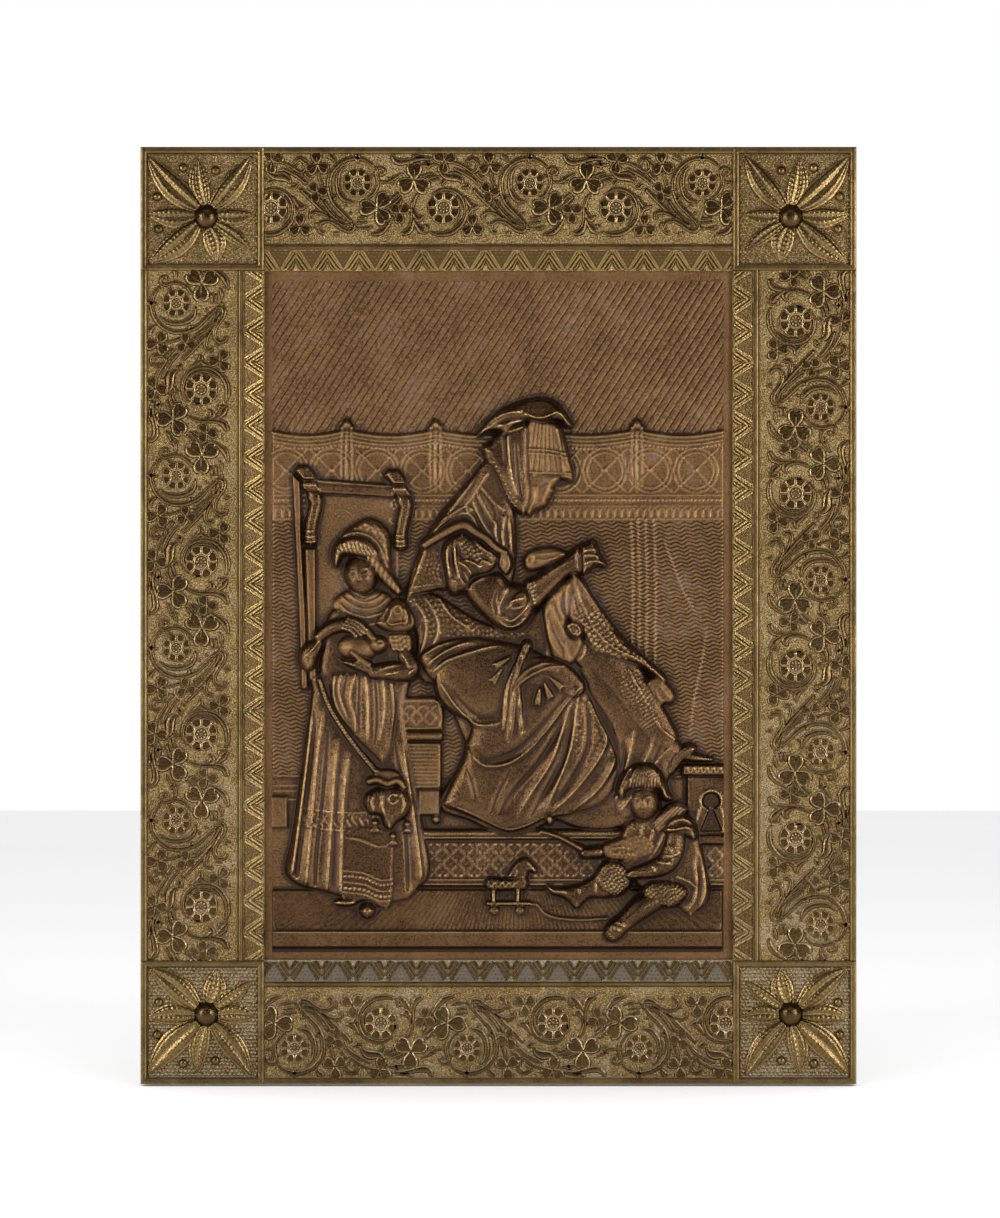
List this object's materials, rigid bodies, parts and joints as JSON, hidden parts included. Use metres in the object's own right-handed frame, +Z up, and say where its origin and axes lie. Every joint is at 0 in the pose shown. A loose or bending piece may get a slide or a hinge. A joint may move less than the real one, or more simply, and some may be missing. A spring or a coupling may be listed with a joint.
{
  "type": "relief plaque",
  "caption": "Upright rectangular wall plaque: a cast frame with scroll and corner-leaf ornament round a relief picture of a seated woman, a girl and a boy.",
  "frame": {"origin": "middle of the flat back, on the wall plane", "axes": "+Z up, +Y into the wall, picture faces -Y, +X to the viewer's right"},
  "size_m": [0.33, 0.0158, 0.432],
  "materials": {
    "brass": "aged olive-brown brass, matt ground, worn bright edges",
    "copper": null
  },
  "bodies": {
    "root": {"frame": "brass", "relief_panel": "copper"}
  },
  "joints": []
}
